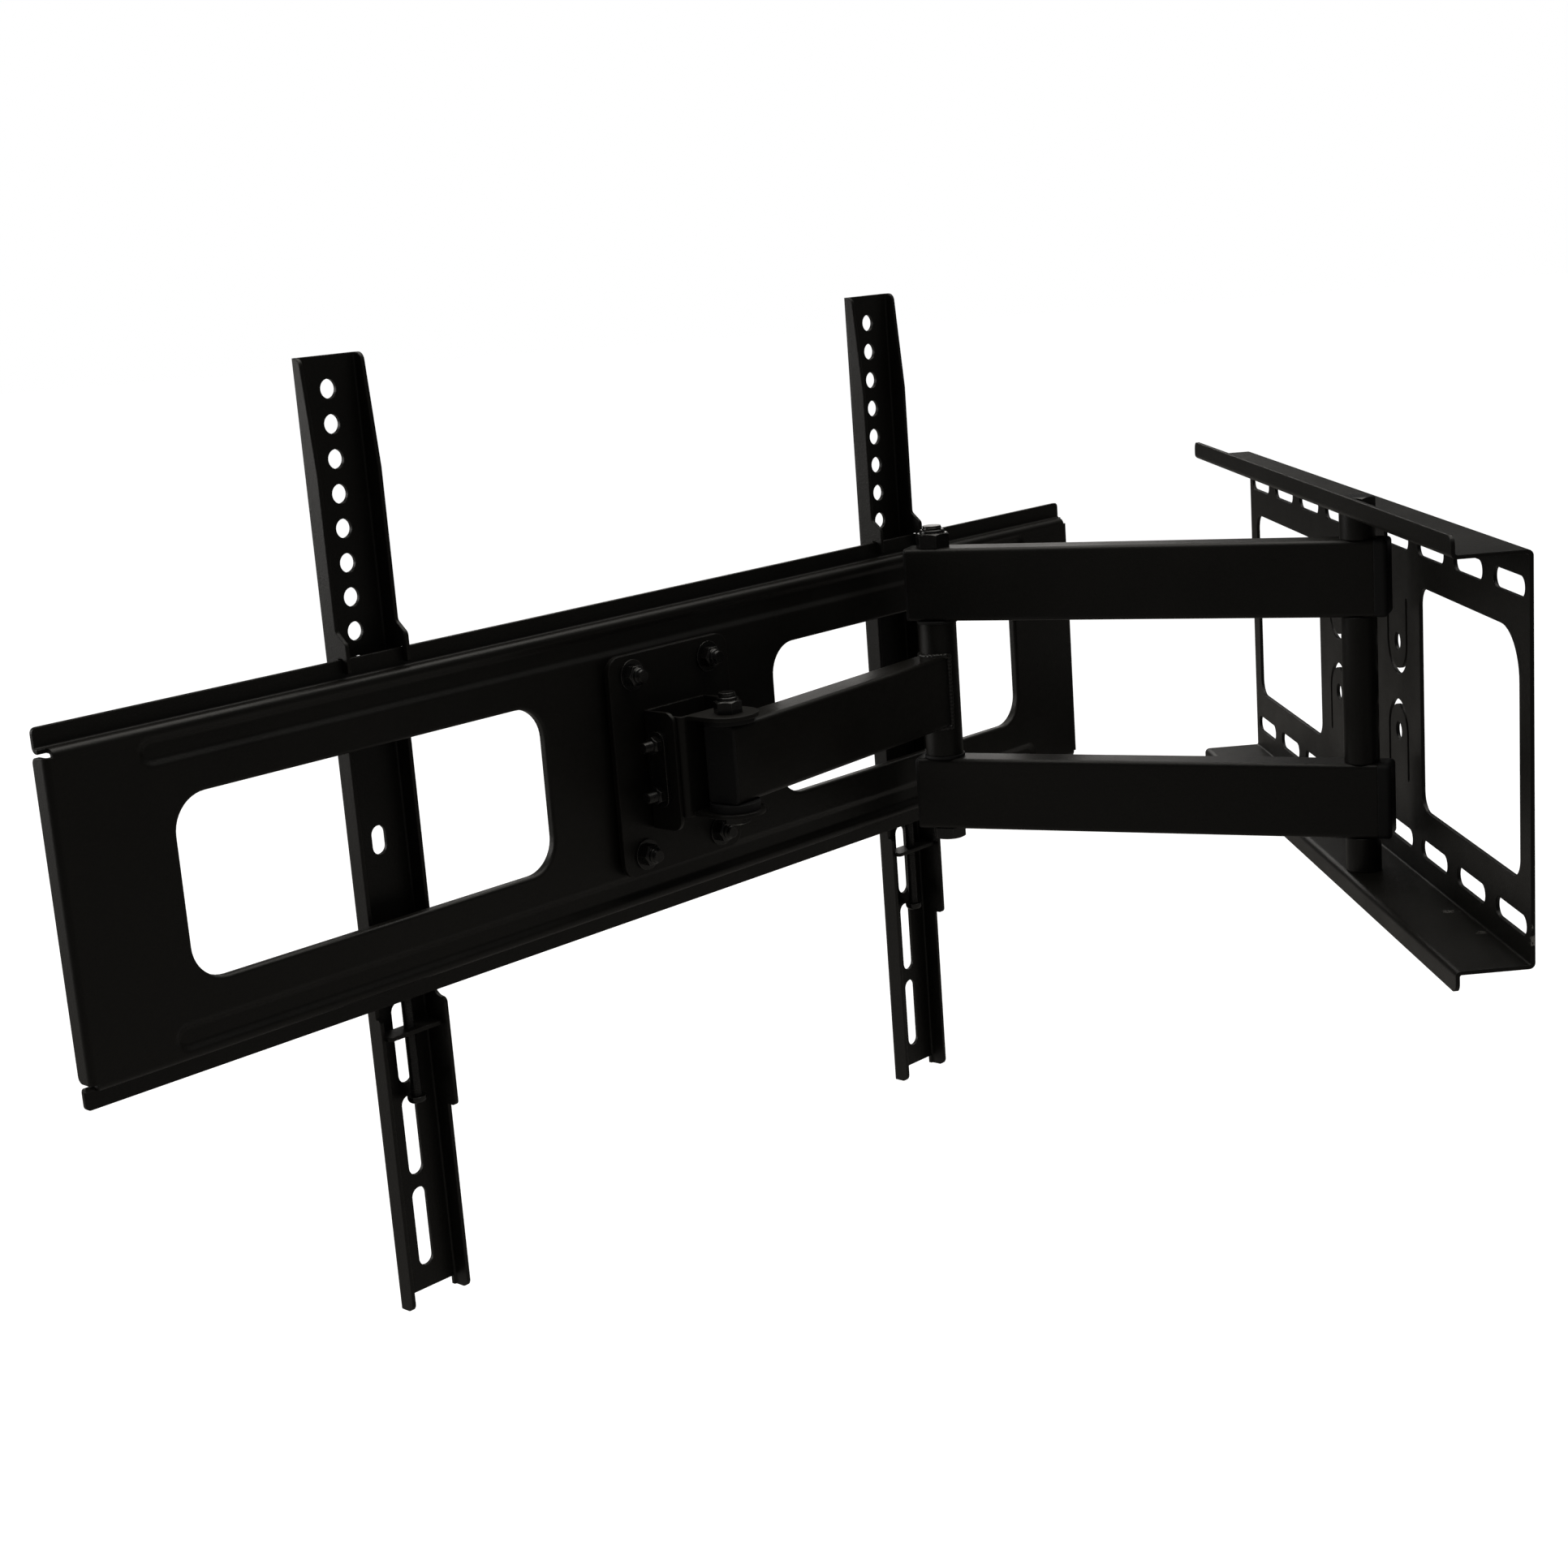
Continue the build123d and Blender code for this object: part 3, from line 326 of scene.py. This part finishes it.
wall_low, wall_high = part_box("wall_plate")
CHIPS = (                    # place on the wall plate, and radius
    (wall_high.x - 0.0002, -0.0010, wall_low.z + 0.0225, 0.0075),
    (wall_high.x - 0.0002, -0.0005, wall_low.z + 0.0290, 0.0045),
    (wall_high.x - 0.0690, -0.0020, wall_low.z + 0.0245, 0.0080),
    (wall_high.x - 0.0950, -0.0095, wall_low.z + 0.0110, 0.0090),
    (wall_high.x - 0.0560, -0.0060, wall_low.z + 0.0110, 0.0070),
)
MATERIALS = {
    "black_coat": powder_coat("textured_black_coat"),
    "wall_coat": powder_coat("textured_black_coat_chipped", CHIPS),
    "black_zinc": black_zinc("bright_black_zinc"),
    "black_plastic": moulded_plastic("matt_black_nylon"),
    "bare_steel": drawn_steel("drawn_steel"),
    "weld": weld_metal("coated_weld"),
}


def dress_nodes():
    """Gives each CAD node the material that its slot in the record names."""
    slots = {part["node"]: part["material_slot"] for part in frame["record"]["subparts"]}
    for name, node in NODES.items():
        material = MATERIALS["wall_coat" if name == "wall_plate" else slots[name]]
        if not node.material_slots:
            node.data.materials.append(material)
        for slot in node.material_slots:
            slot.material = material


# ---- Added pieces -------------------------------------------------------------------------------

BODY_OF = {node: body for body, nodes in frame["record"]["behaviour"]["bodies"].items() for node in nodes}
UP = Vector((0.0, 0.0, 1.0))

# Frame of the swivel and tilt head, in millimetres from the middle of the TV plate's rear face
TILT_Y = 17.0
TILT_Z = 11.2
HEAD_X = Vector(JOINTS["head_tilt"]["axis"]).normalized()
HEAD_Y = UP.cross(HEAD_X)
HEAD = Vector(JOINTS["head_tilt"]["pos_m"]) - (HEAD_Y * TILT_Y + UP * TILT_Z) * MM

# Frame of the front arm, from the elbow towards the head pivot, and its weld in millimetres
ELBOW = Vector(JOINTS["elbow_fold"]["pos_m"]) * Vector((1.0, 1.0, 0.0))
ARM_X = Vector(JOINTS["head_swivel"]["pos_m"]) * Vector((1.0, 1.0, 0.0)) - ELBOW
ARM_X.normalize()
ARM_Y = UP.cross(ARM_X)
FRONT_ARM_Z = 2.0
ARM_WIDTH = 19.0
ARM_HEIGHT = 41.0
ELBOW_TUBE_R = 10.65
WELD_R = 1.5
WELD_STEP = 0.45
WELD_RIPPLE = 2.1            # length of one ripple
WELD_SIDES = 8
WELD_ARC_STEPS = 12
WELD_RIPPLE_SIZE = 0.10      # of the weld's radius
WELD_WANDER = ((0.10, 0.11, 0.0), (0.06, 0.037, 1.0))   # share of the radius, turn per step, phase
WELD_STAND_OFF = 0.2

# Bolt ends, in millimetres
THREAD_ROWS = 7
THREAD_STEPS = 28
THREAD_DEPTH = 0.32          # of the pitch
THREAD_CREST = 1.4           # over 1, so that the crests are flat
THREAD_TIP = 0.1             # share of the depth that is left at the very tip
THREAD_ROOM = 0.07 * MM      # the thread's root stands this far outside the shank
THREAD_OVER = 0.1 * MM       # and its end this far beyond the tip
M5 = (2.5, 0.8)              # radius and pitch
M6 = (3.0, 1.0)
M8 = (4.0, 1.25)
M10 = (5.0, 1.5)
TILT_STUD_Z = (11.2, -15.0)
TILT_THREAD = (29.0, 34.7)   # from the nut's face to the stud's tip
LEVEL_X = 27.5
LEVEL_Z = 47.0
LEVEL_THREAD = (13.2, 15.1)
LOCK_HEAD = 3.8
PIVOT_BOLTS = (              # node, size, and 1 for a thread at its top or -1 at its foot
    ("wall_pivot_bolt", M10, -1),
    ("elbow_bolt", M10, 1),
    ("head_bolt", M8, 1),
)
PIVOT_OUT = 2.0              # length of the pivot bolts beyond their nuts


def place(origin, x_axis, y_axis, point):
    """Point of a local frame, given in millimetres, in the model's metres."""
    x, y, z = point
    return origin + (x_axis * x + y_axis * y + UP * z) * MM


def tube_mesh(rings):
    """Closed skin over rings of points with the same count, filled at both ends."""
    mesh = bmesh.new()
    rows = [[mesh.verts.new(point) for point in ring] for ring in rings]
    count = len(rows[0])
    for lower, upper in zip(rows, rows[1:]):
        for index in range(count):
            after = (index + 1) % count
            mesh.faces.new((lower[index], lower[after], upper[after], upper[index]))
    mesh.faces.new(list(reversed(rows[0])))
    mesh.faces.new(rows[-1])
    bmesh.ops.recalc_face_normals(mesh, faces=mesh.faces[:])
    return mesh


def new_object(name, mesh_data, material, node):
    """Smooth-shaded piece that rides on the body of a CAD node."""
    mesh = bpy.data.meshes.new(name)
    mesh_data.to_mesh(mesh)
    mesh_data.free()
    for polygon in mesh.polygons:
        polygon.use_smooth = len(polygon.vertices) == 4
    piece = bpy.data.objects.new(name, mesh)
    bpy.context.scene.collection.objects.link(piece)
    piece.data.materials.append(MATERIALS[material])
    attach(piece, BODY_OF[node])


def thread(name, start, end, size, node):
    """Screw thread round a bolt's end, between two points on its axis."""
    radius, pitch = (value * MM for value in size)
    axis = (end - start).normalized()
    side = axis.orthogonal().normalized()
    other = axis.cross(side)
    length = (end - start).length
    rows = max(2, round(length / pitch * THREAD_ROWS))
    root = radius + THREAD_ROOM
    rings = []
    for row in range(rows + 1):
        along = length * row / rows
        fade = min(1.0, (length - along) / pitch + THREAD_TIP)
        ring = []
        for step in range(THREAD_STEPS):
            turn = step / THREAD_STEPS
            phase = (along / pitch - turn) % 1.0
            ridge = min(1.0, THREAD_CREST * (1.0 - abs(2.0 * phase - 1.0)))
            reach = root + THREAD_DEPTH * pitch * ridge * fade
            angle = 2.0 * math.pi * turn
            outwards = side * math.cos(angle) + other * math.sin(angle)
            ring.append(start + axis * along + outwards * reach)
        rings.append(ring)
    new_object(name, tube_mesh(rings), "black_zinc", node)


def upright(node):
    """Axis of an upright bolt, as a point at height 0, and its lowest and highest heights."""
    low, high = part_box(node)
    return Vector(((low.x + high.x) / 2, (low.y + high.y) / 2, 0.0)), low.z, high.z


def threads():
    """Threads on the ends of all studs, bolts and lock screws that show one."""
    for index, x in enumerate((-1, 1)):
        for row, z in enumerate(TILT_STUD_Z):
            start, end = (place(HEAD, HEAD_X, HEAD_Y, (x * reach, TILT_Y, z)) for reach in TILT_THREAD)
            thread(f"tilt_thread_{index}{row}", start, end, M5, "tilt_studs")
    for index, x in enumerate((-LEVEL_X, LEVEL_X)):
        for row, z in enumerate((-LEVEL_Z, LEVEL_Z)):
            start, end = (place(HEAD, HEAD_X, HEAD_Y, (x, y, z)) for y in LEVEL_THREAD)
            thread(f"level_thread_{index}{row}", start, end, M6, "level_bolts")
    for side in ("left", "right"):
        middle, low, high = upright(f"lock_screw_{side}")
        start = middle + UP * (low + LOCK_HEAD * MM)
        thread(f"lock_thread_{side}", start, middle + UP * (high + THREAD_OVER), M5, f"lock_screw_{side}")
    for node, size, end in PIVOT_BOLTS:
        middle, low, high = upright(node)
        tip = high if end > 0 else low
        start = middle + UP * (tip - end * PIVOT_OUT * MM)
        thread(f"{node}_thread", start, middle + UP * (tip + end * THREAD_OVER), size, node)


def weld_path():
    """Line where the front arm's notched end meets the elbow tube, in the arm's own frame."""
    half_width, half_height = ARM_WIDTH / 2, ARM_HEIGHT / 2
    spread = math.asin(half_width / ELBOW_TUBE_R)
    points = []
    for row in (-1, 1):
        for index in range(WELD_ARC_STEPS + 1):
            angle = -row * spread * (1.0 - 2.0 * index / WELD_ARC_STEPS)
            points.append((ELBOW_TUBE_R * math.cos(angle), ELBOW_TUBE_R * math.sin(angle), row * half_height))
    corners = points + [points[0]]
    path = []
    for start, end in zip(corners, corners[1:]):
        start, end = Vector(start), Vector(end)
        count = max(1, round((end - start).length / WELD_STEP))
        path += [start.lerp(end, index / count) for index in range(count)]
    return path


def weld():
    """Rippled fillet weld between the front arm and the elbow tube."""
    path = weld_path()
    count = len(path)
    rings = []
    for index in range(count + 1):
        here = path[index % count]
        along = (path[(index + 1) % count] - path[index - 1]).normalized()
        out = Vector((1.0, 0.0, 0.0))
        side = along.cross(out).normalized()
        out = side.cross(along)
        ripple = 1.0 + WELD_RIPPLE_SIZE * math.sin(index * WELD_STEP * 2.0 * math.pi / WELD_RIPPLE)
        wander = 1.0
        for share, turn, phase in WELD_WANDER:
            wander += share * math.sin(index * turn + phase)
        radius = WELD_R * ripple * wander
        ring = []
        for step in range(WELD_SIDES):
            angle = 2.0 * math.pi * step / WELD_SIDES
            outwards = side * math.cos(angle) + out * math.sin(angle)
            point = here + out * WELD_STAND_OFF + outwards * radius
            point.z += FRONT_ARM_Z
            ring.append(place(ELBOW, ARM_X, ARM_Y, point))
        rings.append(ring)
    new_object("elbow_weld", tube_mesh(rings), "weld", "front_arm")


# ---- Stage --------------------------------------------------------------------------------------


def seen_by_camera(tree):
    """1 where the camera sees a surface or the world directly."""
    return tree.nodes.new("ShaderNodeLightPath").outputs["Is Camera Ray"]


def floor():
    """Pale floor that the camera sees as plain white."""
    low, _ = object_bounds()
    level = low[2] - FLOOR_DROP
    signs = ((-1, -1), (1, -1), (1, 1), (-1, 1))
    corners = [(x * FLOOR_EDGE, y * FLOOR_EDGE, level) for x, y in signs]
    mesh = bpy.data.meshes.new("floor")
    mesh.from_pydata(corners, [], [(0, 1, 2, 3)])
    piece = bpy.data.objects.new("floor", mesh)
    bpy.context.scene.collection.objects.link(piece)
    n = Nodes("pale_floor")
    n.surface(base=FLOOR_COLOUR, rough=FLOOR_ROUGHNESS, specular=FLOOR_SPECULAR)
    n.shader.inputs["Emission Color"].default_value = WHITE
    n.link(seen_by_camera(n.tree), n.shader.inputs["Emission Strength"])
    piece.data.materials.append(n.material)
    piece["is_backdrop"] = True


def area_light(name, at, aim, size, power, colour):
    data = bpy.data.lights.new(name, "AREA")
    data.shape = "RECTANGLE"
    data.size, data.size_y = size
    data.energy = power
    data.color = colour
    lamp = bpy.data.objects.new(name, data)
    lamp.location = at
    lamp.rotation_euler = (Vector(aim) - Vector(at)).to_track_quat("-Z", "Y").to_euler()
    bpy.context.scene.collection.objects.link(lamp)


def studio():
    """World that is white for the camera and dim for everything else, and large soft lights."""
    world = bpy.data.worlds.new("studio")
    world.use_nodes = True
    tree = world.node_tree
    background = tree.nodes["Background"]
    background.inputs["Color"].default_value = WHITE
    level = tree.nodes.new("ShaderNodeMapRange")
    tree.links.new(seen_by_camera(tree), level.inputs["Value"])
    level.inputs["To Min"].default_value = WORLD_DIM
    level.inputs["To Max"].default_value = 1.0
    tree.links.new(level.outputs[0], background.inputs["Strength"])
    bpy.context.scene.world = world
    bpy.context.scene.view_settings.view_transform = "Standard"
    for light in LIGHTS:
        area_light(*light)


def camera():
    """Camera that looks down by its elevation, and is rolled about its line of sight."""
    azimuth = math.radians(CAMERA_AZIMUTH)
    elevation = math.radians(CAMERA_ELEVATION)
    roll = math.radians(CAMERA_ROLL)
    forward = Vector((
        -math.sin(azimuth) * math.cos(elevation),
        math.cos(azimuth) * math.cos(elevation),
        -math.sin(elevation),
    ))
    level = Vector((math.cos(azimuth), math.sin(azimuth), 0.0))
    above = level.cross(forward)
    right = level * math.cos(roll) + above * math.sin(roll)
    up = above * math.cos(roll) - level * math.sin(roll)
    data = bpy.data.cameras.new("camera")
    data.lens = CAMERA_LENS
    data.sensor_width = SENSOR_WIDTH
    data.clip_end = VIEW_DEPTH
    eye = bpy.data.objects.new("camera", data)
    turn = Matrix((right, up, -forward)).transposed().to_4x4()
    eye.matrix_world = Matrix.Translation(CAMERA_AT) @ turn
    bpy.context.scene.collection.objects.link(eye)
    bpy.context.scene.camera = eye


dress_nodes()
threads()
weld()
floor()
studio()
camera()
